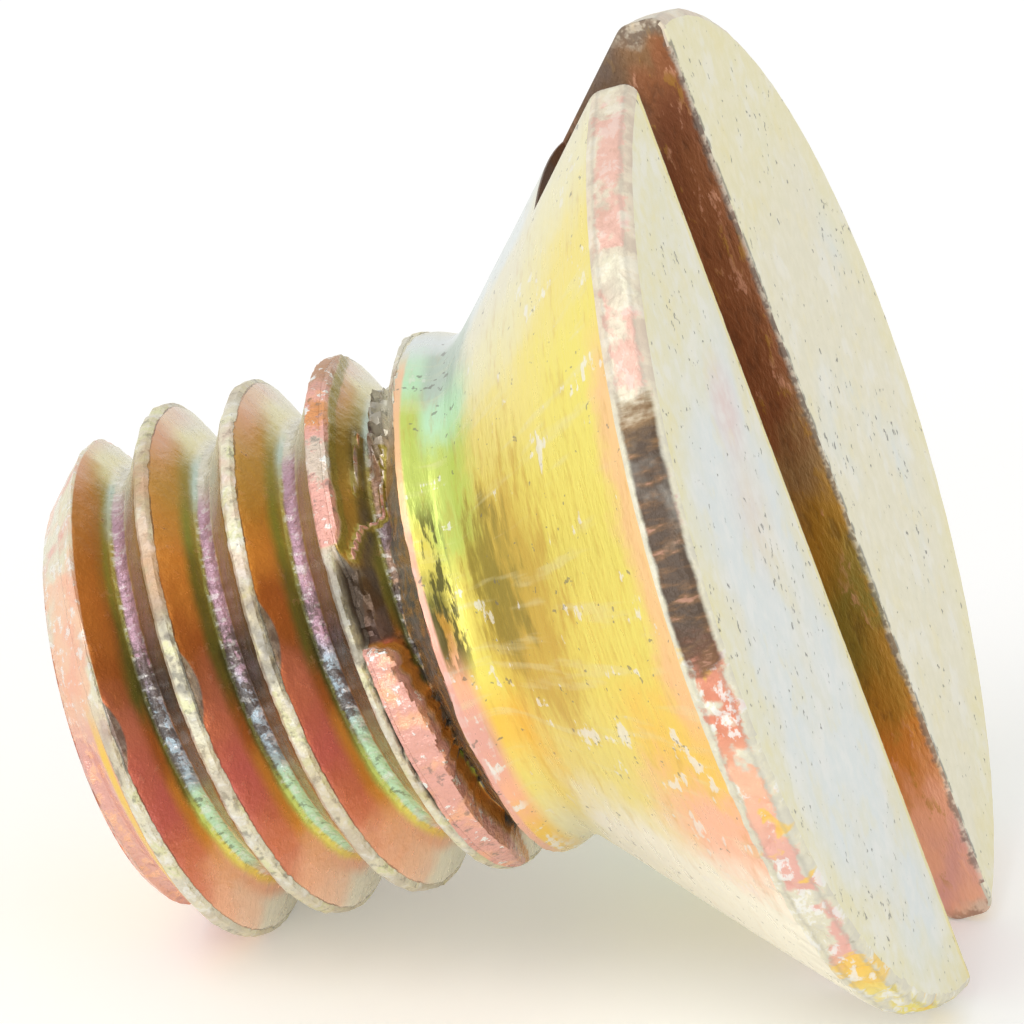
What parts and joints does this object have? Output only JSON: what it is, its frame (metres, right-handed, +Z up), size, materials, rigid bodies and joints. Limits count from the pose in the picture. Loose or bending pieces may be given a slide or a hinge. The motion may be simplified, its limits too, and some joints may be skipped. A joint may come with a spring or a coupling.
{
  "type": "machine screw",
  "caption": "Slotted countersunk machine screw: flat head with a thin rim and conical seat, short neck, rolled right-hand thread and chamfered tip, lying on its side.",
  "frame": {"origin": "bottom centre of the box round the screw as it lies: the floor is Z = 0", "axes": "+Z up; the slotted face looks towards +X and a little up, the tip points to -X and a little down, and the slot stands in the XZ plane"},
  "size_m": [0.0102, 0.0112, 0.0104],
  "materials": {
    "plated_steel": "steel with a worn yellow passivated zinc plating"
  },
  "bodies": {
    "root": {"screw": "plated_steel"}
  },
  "joints": []
}
